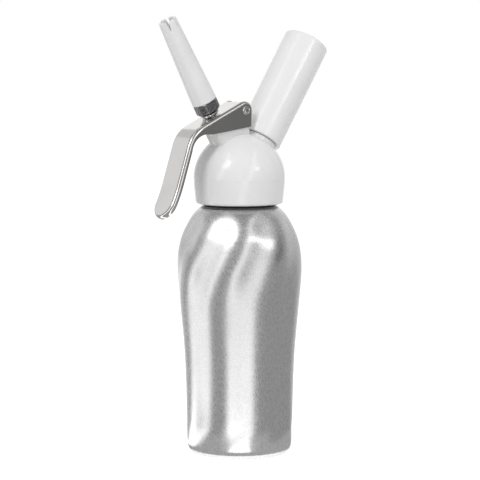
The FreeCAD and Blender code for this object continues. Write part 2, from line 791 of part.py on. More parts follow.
def charger():
    """Standard 8 g steel gas charger, pierced, standing on its neck in the socket."""
    neck_top, shoulder_end, round_end = charger_foot + 7.2, charger_foot + 15.0, charger_foot + charger_length
    outside = turned([(0, charger_foot), (charger_neck, charger_foot, 0.5), (charger_neck, neck_top, 0.8),
                      (charger_radius, shoulder_end, 4.0), (charger_radius, round_end, 6.5), (0, round_end)])
    floor, ceiling = charger_foot + 1.2, round_end - charger_wall
    neck_inside, inside_radius = charger_neck - charger_wall, charger_radius - charger_wall
    inside = turned([(0, floor), (neck_inside, floor, 0.4), (neck_inside, neck_top, 0.6),
                     (inside_radius, shoulder_end + 0.6, 3.0), (inside_radius, ceiling, 4.7), (0, ceiling)])
    hole = rod(charger_hole, charger_foot - 1, floor + 1)
    return on_charger_axis(outside.cut([inside, hole]))


def holder_cushion():
    low = charger_foot + charger_length
    return on_charger_axis(rod(insert_bore - 1.2, low + 0.02, low + cushion_height))


def holder_insert():
    """Aluminium cup inside the holder: it carries the thread and takes the push of the charger."""
    end_floor = insert_end - 1.6
    thread_root = stud_radius + thread_play
    thread_end = stud_top + 1.0
    cup = turned([(thread_root, insert_foot), (insert_radius, insert_foot), (insert_radius, insert_end, 1.0),
                  (0, insert_end), (0, end_floor), (insert_bore, end_floor), (insert_bore, thread_end + 0.8),
                  (thread_root, thread_end)])
    ridge = thread_ridge(thread_root, stud_ridge + 0.15, stud_pitch, stud_turns + 1.5,
                         stud_ridge_foot - stud_pitch / 2, inward=True)
    trimmed = ridge.common(tube(thread_root + 1, stud_radius - stud_ridge, insert_foot, thread_end - 0.2))
    return on_charger_axis(cup.fuse(trimmed))


def charger_holder():
    """White sleeve moulded over the cup, with a softly crowned end."""
    rim_bore = insert_radius + 0.02
    foot_taper, taper_end, crown, crown_edge = 0.2, holder_top - 30, 0.5, 7.5
    return on_charger_axis(turned([
        (rim_bore, holder_foot), (holder_radius - foot_taper, holder_foot, 0.7), (holder_radius, taper_end),
        (holder_radius, holder_top, holder_edge), (crown_edge, holder_top + crown, 40), (0, holder_top + crown),
        (0, insert_end), (rim_bore, insert_end)]))


PARTS = [bottle, head_gasket,
         head_shell, valve_bush, stem_oring, return_spring,
         valve_stem, valve_seal, seal_washer, seal_nut, stem_nut,
         lever, lever_pin, pin_retainer,
         nozzle_collar, nozzle_seal, nozzle_tip,
         inlet_body, inlet_gasket, inlet_nut, piercing_pin, charger_seal,
         inlet_poppet, poppet_spring, poppet_retainer,
         charger, holder_cushion, holder_insert, charger_holder]

os.makedirs("parts", exist_ok=True)
for make in PARTS:
    shape = make()
    solids = shape.Solids
    if len(solids) == 1:
        shape = solids[0]
    print("%-16s solids %d valid %s volume %.0f" % (make.__name__, len(solids), shape.isValid(), shape.Volume))
    shape.exportStep("parts/%s.step" % make.__name__)
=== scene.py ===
import json
import math

import bpy
import numpy as np
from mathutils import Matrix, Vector

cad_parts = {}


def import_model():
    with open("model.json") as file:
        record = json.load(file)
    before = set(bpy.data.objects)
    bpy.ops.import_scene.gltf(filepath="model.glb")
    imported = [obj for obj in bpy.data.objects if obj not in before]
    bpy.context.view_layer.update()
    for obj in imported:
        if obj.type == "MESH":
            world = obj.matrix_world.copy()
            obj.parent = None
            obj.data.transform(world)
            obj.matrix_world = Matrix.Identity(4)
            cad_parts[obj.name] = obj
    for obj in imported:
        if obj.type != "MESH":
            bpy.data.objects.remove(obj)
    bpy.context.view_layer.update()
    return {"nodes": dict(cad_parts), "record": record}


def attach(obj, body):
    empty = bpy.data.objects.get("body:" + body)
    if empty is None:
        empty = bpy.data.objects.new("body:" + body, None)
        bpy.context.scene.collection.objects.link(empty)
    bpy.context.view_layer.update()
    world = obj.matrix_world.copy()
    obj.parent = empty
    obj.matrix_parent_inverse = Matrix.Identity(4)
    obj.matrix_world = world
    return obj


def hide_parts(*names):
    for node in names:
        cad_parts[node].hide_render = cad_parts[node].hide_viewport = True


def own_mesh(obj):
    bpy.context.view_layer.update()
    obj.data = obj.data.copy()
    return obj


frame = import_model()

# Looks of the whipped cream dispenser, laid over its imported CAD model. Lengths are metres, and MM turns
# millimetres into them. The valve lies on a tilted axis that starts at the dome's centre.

MM = 0.001
nodes = frame["nodes"]

# Camera, as read from the photograph: 36 degrees round from the object's side
CAMERA_TURN = math.radians(36.0)
CAMERA_DISTANCE = 1240.0
CAMERA_HEIGHT = 255.6
AIM_HEIGHT = 138.6
LENS = 143.7
SENSOR = 36.0
FRAME_SHIFT = 0.00125

# Object
DOME_HEIGHT = 179.0
VALVE_TILT = math.radians(-29.0)

# Studio brightness: the floor, the world, the two lamps and the cards that only mirrors see
FLOOR_LIFT = 0.64
WORLD_LIGHT = 0.60
KEY_POWER = 4.6
FILL_POWER = 2.2
ROOM_GREY = 0.36
TABLE_GREY = 0.33
SIDE_GREY = 0.62
STRIP_LEFT = 2.0
STRIP_FRONT = 1.75
STRIP_TOP = 4.5
STRIP_GLOW = 0.55
FOOT_GREY = 0.45
LEVER_GREY = 0.80
DARK_GREY = 0.16
CEILING_GREY = 0.28

# Studio sizes, in metres and degrees
FLOOR_SIZE = 6.0
ROOM_DISTANCE = 1.7
ROOM_HEIGHT = 2.4
CEILING_REACH = 1.75
CEILING_HEIGHT = 2.3
BOTTLE_FOOT = 0.034
TABLE_HEIGHT = 0.002
STRIP_HALF_WIDTH = 5.5
GLOW_HALF_WIDTH = 10.0
GLOW_BEHIND = 1.12
BOTTLE_SPREAD = 0.07


def node_material(name):
    """New material with its node tree emptied but for the output and a principled shader."""
    material = bpy.data.materials.new(name)
    material.use_nodes = True
    tree = material.node_tree
    tree.nodes.clear()
    output = tree.nodes.new("ShaderNodeOutputMaterial")
    shader = tree.nodes.new("ShaderNodeBsdfPrincipled")
    tree.links.new(shader.outputs["BSDF"], output.inputs["Surface"])
    return material, tree, shader


def add(tree, kind, values=None, **settings):
    """Add a node. values sets its input sockets, settings its properties."""
    node = tree.nodes.new(kind)
    for key, value in settings.items():
        setattr(node, key, value)
    for key, value in (values or {}).items():
        node.inputs[key].default_value = value
    return node


def noise(tree, coordinates, scale, detail=3.0, roughness=0.55):
    node = add(tree, "ShaderNodeTexNoise", {"Scale": scale, "Detail": detail, "Roughness": roughness})
    tree.links.new(coordinates, node.inputs["Vector"])
    return node.outputs["Fac"]


def spread(tree, value, low, high):
    """Map a 0..1 texture value to the range low..high."""
    node = add(tree, "ShaderNodeMapRange",
               {"From Min": 0.25, "From Max": 0.75, "To Min": low, "To Max": high})
    tree.links.new(value, node.inputs["Value"])
    return node.outputs["Result"]


def object_coordinates(tree):
    return add(tree, "ShaderNodeTexCoord").outputs["Object"]


def bump(tree, shader, height, strength, distance):
    node = add(tree, "ShaderNodeBump", {"Strength": strength, "Distance": distance})
    tree.links.new(height, node.inputs["Height"])
    tree.links.new(node.outputs["Normal"], shader.inputs["Normal"])


def tint(tree, shader, value, dark, light):
    """Colour that varies between dark and light with a texture value."""
    ramp = add(tree, "ShaderNodeValToRGB")
    ramp.color_ramp.elements[0].position = 0.3
    ramp.color_ramp.elements[1].position = 0.7
    ramp.color_ramp.elements[0].color = (*dark, 1.0)
    ramp.color_ramp.elements[1].color = (*light, 1.0)
    tree.links.new(value, ramp.inputs["Fac"])
    tree.links.new(ramp.outputs["Color"], shader.inputs["Base Color"])


def brushed_bottle():
    """Satin aluminium with a fine grain that runs up the bottle and leans a little."""
    material, tree, shader = node_material("bottle_brushed_aluminium")
    shader.inputs["Metallic"].default_value = 1.0
    shader.inputs["Anisotropic"].default_value = 0.55
    coordinates = object_coordinates(tree)
    split = add(tree, "ShaderNodeSeparateXYZ")
    tree.links.new(coordinates, split.inputs["Vector"])
    lean = add(tree, "ShaderNodeMath", operation="MULTIPLY")
    lean.inputs[1].default_value = 14.0
    tree.links.new(split.outputs["Z"], lean.inputs[0])
    turn = add(tree, "ShaderNodeVectorRotate", rotation_type="Z_AXIS")
    tree.links.new(coordinates, turn.inputs["Vector"])
    tree.links.new(lean.outputs["Value"], turn.inputs["Angle"])
    mapping = add(tree, "ShaderNodeMapping", {"Scale": (1.0, 1.0, 0.3)})
    tree.links.new(turn.outputs["Vector"], mapping.inputs["Vector"])
    grain = noise(tree, mapping.outputs["Vector"], 1400.0, 5.0, 0.75)
    cloud = noise(tree, coordinates, 22.0, 4.0)
    tint(tree, shader, spread(tree, grain, 0.0, 1.0), (0.66, 0.66, 0.66), (0.84, 0.84, 0.84))
    both = add(tree, "ShaderNodeMath", operation="MULTIPLY_ADD")
    tree.links.new(cloud, both.inputs[0])
    both.inputs[1].default_value = 0.35
    tree.links.new(grain, both.inputs[2])
    rough = add(tree, "ShaderNodeMapRange",
                {"From Min": 0.4, "From Max": 0.95, "To Min": 0.22, "To Max": 0.36})
    tree.links.new(both.outputs["Value"], rough.inputs["Value"])
    tree.links.new(rough.outputs["Result"], shader.inputs["Roughness"])
    tangent = add(tree, "ShaderNodeTangent", direction_type="RADIAL", axis="Z")
    tree.links.new(tangent.outputs["Tangent"], shader.inputs["Tangent"])
    bump(tree, shader, grain, 0.35, 0.00006)
    return material


def gloss_plastic(name, light, dark, roughness, ripple):
    """Moulded white plastic: a faint unevenness in the gloss and a very soft ripple of the surface."""
    material, tree, shader = node_material(name)
    coordinates = object_coordinates(tree)
    cloud = noise(tree, coordinates, 60.0, 4.0)
    tint(tree, shader, cloud, dark, light)
    fine = noise(tree, coordinates, 900.0, 2.0)
    tree.links.new(spread(tree, fine, roughness * 0.85, roughness * 1.2), shader.inputs["Roughness"])
    shader.inputs["IOR"].default_value = 1.5
    bump(tree, shader, noise(tree, coordinates, 220.0, 2.0), ripple, 0.00004)
    return material


def polished_metal(name, light, dark, roughness):
    """Metal with hairline wear that makes its gloss uneven."""
    material, tree, shader = node_material(name)
    shader.inputs["Metallic"].default_value = 1.0
    coordinates = object_coordinates(tree)
    scratch = noise(tree, coordinates, 1400.0, 4.0, 0.65)
    cloud = noise(tree, coordinates, 45.0, 3.0)
    tint(tree, shader, cloud, dark, light)
    tree.links.new(spread(tree, scratch, roughness * 0.75, roughness * 1.3), shader.inputs["Roughness"])
    bump(tree, shader, scratch, 0.03, 0.00003)
    return material


def soft_rubber(name, light, dark, roughness):
    material, tree, shader = node_material(name)
    coordinates = object_coordinates(tree)
    grain = noise(tree, coordinates, 1200.0, 3.0)
    tint(tree, shader, noise(tree, coordinates, 90.0, 3.0), dark, light)
    tree.links.new(spread(tree, grain, roughness * 0.9, roughness * 1.1), shader.inputs["Roughness"])
    bump(tree, shader, grain, 0.15, 0.00005)
    return material


MATERIALS = {
    "bottle_metal": brushed_bottle(),
    "head_plastic": gloss_plastic("head_gloss_white", (0.86, 0.86, 0.86), (0.83, 0.83, 0.83), 0.11, 0.05),
    "holder_plastic": gloss_plastic("holder_gloss_white", (0.88, 0.88, 0.88), (0.85, 0.85, 0.85), 0.16, 0.05),
    "nozzle_plastic": gloss_plastic("nozzle_satin_white", (0.84, 0.84, 0.85), (0.80, 0.80, 0.81), 0.32, 0.10),
    "lever_steel": polished_metal("lever_polished_steel", (0.80, 0.79, 0.78), (0.75, 0.74, 0.73), 0.14),
    "collar_steel": polished_metal("collar_dark_steel", (0.34, 0.34, 0.35), (0.24, 0.24, 0.25), 0.14),
    "valve_steel": polished_metal("valve_turned_steel", (0.68, 0.68, 0.69), (0.60, 0.60, 0.61), 0.24),
    "fitting_brass": polished_metal("fitting_brass", (0.74, 0.61, 0.36), (0.66, 0.53, 0.30), 0.24),
    "inner_aluminium": polished_metal("inner_turned_aluminium", (0.72, 0.72, 0.74), (0.64, 0.64, 0.66), 0.30),
    "seal_rubber": soft_rubber("seal_pale_silicone", (0.80, 0.80, 0.78), (0.76, 0.76, 0.74), 0.5),
    "black_rubber": soft_rubber("seal_black_rubber", (0.035, 0.035, 0.035), (0.02, 0.02, 0.02), 0.55),
    "charger_steel": polished_metal("charger_zinc_steel", (0.66, 0.67, 0.68), (0.58, 0.59, 0.60), 0.25),
}

# Polished ring of the bottle under the head, its colour darkened as painted shade from the head above
NECK_SHADED_METAL = polished_metal("neck_polished_painted_shade", (0.36, 0.36, 0.37), (0.28, 0.28, 0.29), 0.10)


def dress_cad_nodes():
    """Give every CAD node the material of its slot."""
    for part in frame["record"]["subparts"]:
        mesh = nodes[part["node"]].data
        mesh.materials.clear()
        mesh.materials.append(MATERIALS[part["material_slot"]])


# Bottle, in millimetres: (radius, height) down its outside, as in the CAD model
FOOT_LINE = [(29.5, 0.3), (30.0, 0.0), (30.9, 0.0), (31.7, 0.35), (32.4, 1.1), (33.05, 2.2), (33.75, 4.4)]
BODY_LINE = [(33.75, 4.4), (34.0, 7.0), (34.85, 22.0), (35.6, 48.0), (37.1, 75.0), (39.45, 101.0),
             (40.14, 117.5), (39.3, 130.7), (38.0, 137.2), (35.9, 143.7), (32.8, 150.2),
             (29.0, 156.7), (25.95, 159.9)]
NECK_LINE = [(25.95, 159.9), (24.3, 161.1), (23.1, 162.0), (22.62, 163.0)]
NECK_SHADE_FOOT = 159.6
FLUTES = 8
FLUTE_DEPTH = 0.74
FLUTE_PHASE = -12.0
FLUTE_TOP_TWIST = 26.0
FLUTE_TWIST_FOOT = 95.0
FLUTE_TWIST_LENGTH = 62.0
FLUTE_FOOT_TWIST = -14.0
FLUTE_FOOT_SWEEP = 26.0
FLUTE_LOW = 6.0
FLUTE_LOW_FADE = 14.0
FLUTE_HIGH = 161.0
FLUTE_HIGH_FADE = 12.0
FLUTE_LEAST_RADIUS = 24.0
BOTTLE_WALL = 1.7
NECK_RADIUS = 21.3
NECK_PITCH = 3.0
NECK_RIDGE = 1.2
NECK_TURNS = 3.2
NECK_RIDGE_FOOT = 165.8
MOUTH_HEIGHT = 178.0
MOUTH_RADIUS = 18.7


def smooth_line(points, count):
    """Evenly spaced points on a natural cubic curve through the given ones."""
    p = np.array(points, float)
    t = np.concatenate(([0.0], np.cumsum(np.linalg.norm(np.diff(p, axis=0), axis=1))))
    h = np.diff(t)
    last = len(t) - 1
    system = np.eye(last + 1)
    known = np.zeros_like(p)
    for i in range(1, last):
        system[i, i - 1:i + 2] = h[i - 1], 2 * (h[i - 1] + h[i]), h[i]
        known[i] = 6 * ((p[i + 1] - p[i]) / h[i] - (p[i] - p[i - 1]) / h[i - 1])
    bend = np.linalg.solve(system, known)
    s = np.linspace(0, t[-1], count)
    k = np.clip(np.searchsorted(t, s, side="right") - 1, 0, last - 1)
    span = h[k][:, None]
    before = (t[k + 1] - s)[:, None] / span
    after = (s - t[k])[:, None] / span
    return (before * p[k] + after * p[k + 1]
            + ((before ** 3 - before) * bend[k] + (after ** 3 - after) * bend[k + 1]) * span ** 2 / 6)


def rounded(points, steps=5):
    """(a, b, corner radius) points of an open line, its corners turned into arcs, as an array of (a, b)."""
    line = []
    for i, (a, b, radius) in enumerate(points):
        here = np.array((a, b), float)
        if radius == 0 or i in (0, len(points) - 1):
            line.append(here)
            continue
        back = np.array(points[i - 1][:2], float) - here
        ahead = np.array(points[i + 1][:2], float) - here
        back /= np.linalg.norm(back)
        ahead /= np.linalg.norm(ahead)
        half = math.acos(float(np.clip(back @ ahead, -1, 1))) / 2
        middle = (back + ahead) / np.linalg.norm(back + ahead)
        centre = here + middle * radius / math.sin(half)
        start = here + back * radius / math.tan(half) - centre
        end = here + ahead * radius / math.tan(half) - centre
        turn = math.acos(float(np.clip(start @ end / radius ** 2, -1, 1)))
        for k in range(steps + 1):
            share = k / steps
            blend = start * math.sin((1 - share) * turn) + end * math.sin(share * turn)
            line.append(centre + blend / math.sin(turn))
    return np.array(line)


def place(points, tilt=None):
    """Millimetre points made about +Z, in metres, laid on a tilted axis where one is given."""
    points = np.asarray(points, float)
    if tilt is None:
        return points * MM
    x, y, h = points[..., 0], points[..., 1], points[..., 2]
    sine, cosine = math.sin(tilt), math.cos(tilt)
    return np.stack((x * cosine + h * sine, y, DOME_HEIGHT - x * sine + h * cosine), axis=-1) * MM


def ring_faces(rows, columns, loop=False):
    """Quads of a grid whose columns close on themselves, and whose rows do too when loop is set."""
    faces = []
    for i in range(rows if loop else rows - 1):
        upper = (i + 1) % rows
        for j in range(columns):
            following = (j + 1) % columns
            faces.append((i * columns + j, i * columns + following,
                          upper * columns + following, upper * columns + j))
    return faces


def make_piece(name, points, faces, slot, body, replaced=None, sharp=35.0):
    """Mesh piece in metres that rides on a body, smooth but for edges sharper than the given angle."""
    mesh = bpy.data.meshes.new(name)
    mesh.from_pydata([tuple(p) for p in np.asarray(points).reshape(-1, 3)], [], faces)
    mesh.validate()
    mesh.update()
    mesh.polygons.foreach_set("use_smooth", [True] * len(mesh.polygons))
    mesh.set_sharp_from_angle(angle=math.radians(sharp))
    mesh.materials.append(MATERIALS[slot])
    piece = bpy.data.objects.new(name, mesh)
    bpy.context.scene.collection.objects.link(piece)
    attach(piece, body)
    if replaced:
        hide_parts(replaced)
    return piece


def lathe(line, columns, radius_of=None):
    """Rings of a turned form, from a line of (radius, height). radius_of may shape each ring."""
    angles = np.linspace(0, 2 * math.pi, columns, endpoint=False)
    rings = []
    for radius, height in line:
        r = np.full(columns, radius) if radius_of is None else radius_of(radius, angles, height)
        rings.append(np.column_stack((r * np.cos(angles), r * np.sin(angles), np.full(columns, height))))
    return np.array(rings)


def fade(value, start, length):
    """Smooth step from 0 at start to 1 a length further on."""
    share = np.clip((value - start) / length, 0.0, 1.0)
    return share * share * (3 - 2 * share)


def fluted(radius, angles, height):
    """Radius round the bottle at a height, its eight flutes swept round under the neck and at the foot."""
    if radius < FLUTE_LEAST_RADIUS:
        return np.full(len(angles), radius)
    depth = FLUTE_DEPTH * min(fade(height, FLUTE_LOW, FLUTE_LOW_FADE),
                              fade(-height, -FLUTE_HIGH, FLUTE_HIGH_FADE))
    turn = FLUTE_PHASE + FLUTE_TOP_TWIST * fade(height, FLUTE_TWIST_FOOT, FLUTE_TWIST_LENGTH)
    turn += FLUTE_FOOT_TWIST * max(0.0, (FLUTE_FOOT_SWEEP - height) / FLUTE_FOOT_SWEEP) ** 1.5
    return radius + depth * np.cos(FLUTES * (angles - math.radians(turn)))


def helix_ridge(name, root, height, pitch, turns, low, slot, body):
    """Thread ridge on a cylinder, faded in and out over its first and last quarter turn."""
    steps = int(turns * 48)
    sections = []
    for i in range(steps + 1):
        angle = 2 * math.pi * i / 48
        grown = fade(i, 0, 12) * fade(steps - i, 0, 12)
        crest = root + 0.02 + (height - 0.02) * grown
        z = low + pitch * i / 48
        for r, dz in ((root - 0.2, -0.26), (crest, -0.12), (crest, 0.12), (root - 0.2, 0.26)):
            sections.append((r * math.cos(angle), r * math.sin(angle), z + dz * pitch))
    faces = ring_faces(steps + 1, 4) + [(3, 2, 1, 0), tuple(4 * steps + k for k in range(4))]
    make_piece(name, place(sections), faces, slot, body)


def bottle():
    recess = rounded([(0.01, 2.6, 0), (26.5, 2.6, 1.0), (29.3, 0.5, 0)], 4)
    mouth = rounded([(22.62, 163.0, 0), (NECK_RADIUS, 164.0, 0.3), (NECK_RADIUS, MOUTH_HEIGHT, 0.5),
                     (MOUTH_RADIUS, MOUTH_HEIGHT, 0.4), (MOUTH_RADIUS, 161.7, 2.0), (27.5, 156.6, 0)])
    outside = np.vstack((np.array([(0.01, 2.6)]), recess, np.array(FOOT_LINE)[:-1],
                         smooth_line(BODY_LINE, 170)[:-1], smooth_line(NECK_LINE, 9), mouth))
    inside = smooth_line(BODY_LINE[1:-1], 60)[::-1]
    inside = inside[1:] - np.array((BOTTLE_WALL, 0.0))
    floor_line = rounded([(32.3, 7.0, 0), (29.4, 4.2, 1.5), (0.01, 4.2, 0)])
    line = np.vstack((outside, inside, floor_line[1:]))
    hollow = len(outside)

    columns = 256
    rings = lathe(outside, columns, fluted)
    rings = np.vstack((rings, lathe(line[hollow:], columns)))
    faces = ring_faces(len(rings), columns)
    faces.append(tuple(range(columns))[::-1])
    faces.append(tuple(range((len(rings) - 1) * columns, len(rings) * columns)))
    body = make_piece("bottle_body", place(rings), faces, "bottle_metal", "bottle", "bottle")
    # Neck faces under the head take the darkened metal, which is painted shade
    body.data.materials.append(NECK_SHADED_METAL)
    for polygon in body.data.polygons:
        height = polygon.center.z / MM
        reach = math.hypot(polygon.center.x, polygon.center.y) / MM
        if height > NECK_SHADE_FOOT and reach > MOUTH_RADIUS + 1.0:
            polygon.material_index = 1
    helix_ridge("bottle_thread", NECK_RADIUS, NECK_RIDGE, NECK_PITCH, NECK_TURNS, NECK_RIDGE_FOOT,
                "bottle_metal", "bottle")


# Nozzle and its collar, in millimetres along the valve axis
COLLAR_FOOT = 49.8
COLLAR_TOP = 57.25
COLLAR_RADIUS = 8.0
KNURLS = 40
KNURL_RISE = 1.25
KNURL_DEPTH = 0.32
NOZZLE_FOOT_RADIUS = 8.15
NOZZLE_END_RADIUS = 5.9
NOZZLE_END = 115.5
NOZZLE_BORE = 4.35
TEETH = 6
NOTCH_DEPTH = 6.2
NOTCH_WIDTH = 2.4
NOTCH_PHASE = -36.0
EDGE_ROUND = 0.35
BORE_ROUND = 0.3


def saw(value):
    """Triangle wave from 0 in a groove to 1 between two grooves."""
    return 1 - np.abs(2 * (value - np.floor(value)) - 1)


def knurled(radius, angles, height):
    """Collar radius with two crossing sets of grooves, which leave the small pyramids of a diamond knurl."""
    if radius < COLLAR_RADIUS - 0.05:
        return np.full(len(angles), radius)
    band = fade(height, COLLAR_FOOT + 1.15, 0.3) * fade(-height, -(COLLAR_TOP - 0.75), 0.3)
    around = KNURLS * angles / (2 * math.pi)
    along = height / KNURL_RISE
    pyramid = np.minimum(np.minimum(saw(around + along), saw(around - along)) * 2.4, 1.0)
    return radius - KNURL_DEPTH * band * (1 - pyramid)


def nozzle_collar():
    heights = np.linspace(COLLAR_FOOT + 1.0, COLLAR_TOP - 0.35, 86)
    side = np.column_stack((np.full(len(heights), COLLAR_RADIUS), heights))
    low = rounded([(3.15, COLLAR_FOOT, 0), (COLLAR_RADIUS - 0.9, COLLAR_FOOT, 0.25),
                   (COLLAR_RADIUS, COLLAR_FOOT + 0.9, 0)])
    high = rounded([(COLLAR_RADIUS, COLLAR_TOP - 0.35, 0), (COLLAR_RADIUS - 0.3, COLLAR_TOP, 0.15),
                    (6.3, COLLAR_TOP, 0.1), (6.3, COLLAR_FOOT + 3.6, 0.2), (3.15, COLLAR_FOOT + 3.6, 0)])
    line = np.vstack((low[:-1], side, high[1:]))
    columns = KNURLS * 12
    rings = lathe(line, columns, knurled)
    faces = ring_faces(len(rings), columns, loop=True)
    make_piece("collar_knurled", place(rings, VALVE_TILT), faces, "collar_steel", "nozzle", "nozzle_collar",
               sharp=28.0)


def tooth_end(angles):
    """Height of the nozzle's open end round its axis: flat-topped teeth between V-shaped notches."""
    pitch = 2 * math.pi / TEETH
    half_notch = NOTCH_WIDTH / 2 / (NOZZLE_END_RADIUS - 0.6)
    off_notch = np.abs((angles - math.radians(NOTCH_PHASE) + pitch) % pitch - pitch / 2)
    cut = np.clip(1 - off_notch / half_notch, 0.0, 1.0)
    return NOZZLE_END - NOTCH_DEPTH * cut ** 0.9


def nozzle():
    columns = TEETH * 40
    angles = np.linspace(0, 2 * math.pi, columns, endpoint=False)
    ends = tooth_end(angles)
    rings = []

    def ring(radius, heights):
        rings.append(np.column_stack((radius * np.cos(angles), radius * np.sin(angles), heights)))

    def wall(heights):
        share = (heights - COLLAR_TOP) / (NOZZLE_END - COLLAR_TOP)
        return NOZZLE_FOOT_RADIUS + (NOZZLE_END_RADIUS - NOZZLE_FOOT_RADIUS) * share

    flat = np.ones(columns)
    for radius, height in rounded([(2.9, 54.85, 0), (6.2, 54.85, 0.2), (6.2, COLLAR_TOP, 0.05),
                                   (NOZZLE_FOOT_RADIUS, COLLAR_TOP, 0.3), (8.1, COLLAR_TOP + 1.2, 0)]):
        ring(radius, height * flat)
    for share in np.linspace(0.02, 1.0, 40):
        heights = COLLAR_TOP + 1.2 + (ends - EDGE_ROUND - COLLAR_TOP - 1.2) * share
        ring(wall(heights), heights)
    for k in range(1, 5):
        turn = k / 4 * math.pi / 2
        ring(wall(ends) - EDGE_ROUND * (1 - math.cos(turn)), ends - EDGE_ROUND * (1 - math.sin(turn)))
    for k in range(5):
        turn = k / 4 * math.pi / 2
        ring(NOZZLE_BORE + BORE_ROUND * (1 - math.sin(turn)), ends - BORE_ROUND * (1 - math.cos(turn)))
    for share in np.linspace(0.05, 1.0, 16):
        heights = ends - BORE_ROUND + (NOZZLE_END - 20.0 - ends + BORE_ROUND) * share
        ring(NOZZLE_BORE, heights)
    for radius, height in ((6.25, COLLAR_TOP + 4), (2.9, COLLAR_TOP - 0.5)):
        ring(radius, height * flat)
    points = place(np.array(rings), VALVE_TILT)
    faces = ring_faces(len(rings), columns, loop=True)
    make_piece("nozzle_toothed", points, faces, "nozzle_plastic", "nozzle", "nozzle_tip", sharp=32.0)


# Return spring, in millimetres along the valve axis
SPRING_RADIUS = 4.3
SPRING_WIRE = 0.9
SPRING_FOOT = 26.5
SPRING_TOP = 42.97
SPRING_TURNS = 6.5


def spring_height(turn):
    """Height of the wire's middle after some turns. The first and last turns lie closer together."""
    closed = SPRING_WIRE + 0.45
    pitch = (SPRING_TOP - SPRING_FOOT - SPRING_WIRE - 2 * closed) / (SPRING_TURNS - 2)
    low = min(turn, 1.0) * closed
    middle = min(max(turn - 1.0, 0.0), SPRING_TURNS - 2) * pitch
    high = max(turn - (SPRING_TURNS - 1), 0.0) * closed
    return SPRING_FOOT + SPRING_WIRE / 2 + low + middle + high


def return_spring():
    around, per_turn = 12, 36
    count = int(SPRING_TURNS * per_turn) + 1
    rings = []
    for i in range(count):
        turn = i / per_turn
        angle = 2 * math.pi * turn
        out = np.array((math.cos(angle), math.sin(angle), 0.0))
        middle = out * SPRING_RADIUS + np.array((0, 0, spring_height(turn)))
        for k in range(around):
            part = 2 * math.pi * k / around
            rings.append(middle + SPRING_WIRE / 2 * (out * math.cos(part) + np.array((0, 0, math.sin(part)))))
    faces = ring_faces(count, around)
    faces.append(tuple(range(around))[::-1])
    faces.append(tuple(range((count - 1) * around, count * around)))
    points = place(rings, VALVE_TILT)
    spring = make_piece("spring_coils", points, faces, "valve_steel", "head", "return_spring")
    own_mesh(spring)


def seen_directly(tree):
    """One where a ray comes from the camera, or by way of a mirror or glass, and zero in plain light."""
    path = add(tree, "ShaderNodeLightPath")
    seen = path.outputs["Is Camera Ray"]
    for other in ("Is Glossy Ray", "Is Transmission Ray"):
        either = add(tree, "ShaderNodeMath", operation="MAXIMUM")
        tree.links.new(seen, either.inputs[0])
        tree.links.new(path.outputs[other], either.inputs[1])
        seen = either.outputs["Value"]
    return seen


def floor_paint():
    """Plain pale paint that reads as white where it is seen or mirrored, and keeps the object's shadow."""
    material, tree, shader = node_material("floor_white")
    shader.inputs["Base Color"].default_value = (0.80, 0.80, 0.80, 1.0)
    shader.inputs["Roughness"].default_value = 0.8
    shader.inputs["Specular IOR Level"].default_value = 0.0
    glow = add(tree, "ShaderNodeEmission", {"Color": (1.0, 1.0, 1.0, 1.0)})
    scaled = add(tree, "ShaderNodeMath", operation="MULTIPLY")
    tree.links.new(seen_directly(tree), scaled.inputs[0])
    scaled.inputs[1].default_value = FLOOR_LIFT
    tree.links.new(scaled.outputs["Value"], glow.inputs["Strength"])
    total = add(tree, "ShaderNodeAddShader")
    tree.links.new(shader.outputs["BSDF"], total.inputs[0])
    tree.links.new(glow.outputs["Emission"], total.inputs[1])
    output = next(n for n in tree.nodes if n.type == "OUTPUT_MATERIAL")
    tree.links.new(total.outputs["Shader"], output.inputs["Surface"])
    return material


def floor():
    mesh = bpy.data.meshes.new("floor")
    size = FLOOR_SIZE
    corners = [(-size, -size, 0), (size, -size, 0), (size, size, 0), (-size, size, 0)]
    mesh.from_pydata(corners, [], [(0, 1, 2, 3)])
    plane = bpy.data.objects.new("floor", mesh)
    bpy.context.scene.collection.objects.link(plane)
    mesh.materials.append(floor_paint())


def world():
    """White to the camera and in mirrors, dimmer as a light."""
    scene_world = bpy.data.worlds.new("studio")
    scene_world.use_nodes = True
    tree = scene_world.node_tree
    tree.nodes.clear()
    output = tree.nodes.new("ShaderNodeOutputWorld")
    dim = add(tree, "ShaderNodeBackground", {"Color": (1.0, 1.0, 1.0, 1.0), "Strength": WORLD_LIGHT})
    bright = add(tree, "ShaderNodeBackground", {"Color": (1.0, 1.0, 1.0, 1.0), "Strength": 1.0})
    mix = tree.nodes.new("ShaderNodeMixShader")
    tree.links.new(seen_directly(tree), mix.inputs["Fac"])
    tree.links.new(dim.outputs["Background"], mix.inputs[1])
    tree.links.new(bright.outputs["Background"], mix.inputs[2])
    tree.links.new(mix.outputs["Shader"], output.inputs["Surface"])
    bpy.context.scene.world = scene_world


def camera_axes():
    """The photograph's viewing direction: towards the camera, and to its right, both level."""
    back = Vector((-math.sin(CAMERA_TURN), -math.cos(CAMERA_TURN), 0.0))
    right = Vector((math.cos(CAMERA_TURN), -math.sin(CAMERA_TURN), 0.0))
    return back, right


def camera():
    back, _ = camera_axes()
    data = bpy.data.cameras.new("photo_camera")
    data.lens = LENS
    data.sensor_width = SENSOR
    data.sensor_fit = "HORIZONTAL"
    data.shift_x = FRAME_SHIFT
    data.clip_start = 0.05
    data.clip_end = 50.0
    eye = (back * CAMERA_DISTANCE + Vector((0, 0, CAMERA_HEIGHT))) * MM
    aim = Vector((0, 0, AIM_HEIGHT)) * MM
    viewer = bpy.data.objects.new("photo_camera", data)
    viewer.location = eye
    viewer.rotation_euler = (aim - eye).to_track_quat("-Z", "Y").to_euler()
    bpy.context.scene.collection.objects.link(viewer)
    bpy.context.scene.camera = viewer


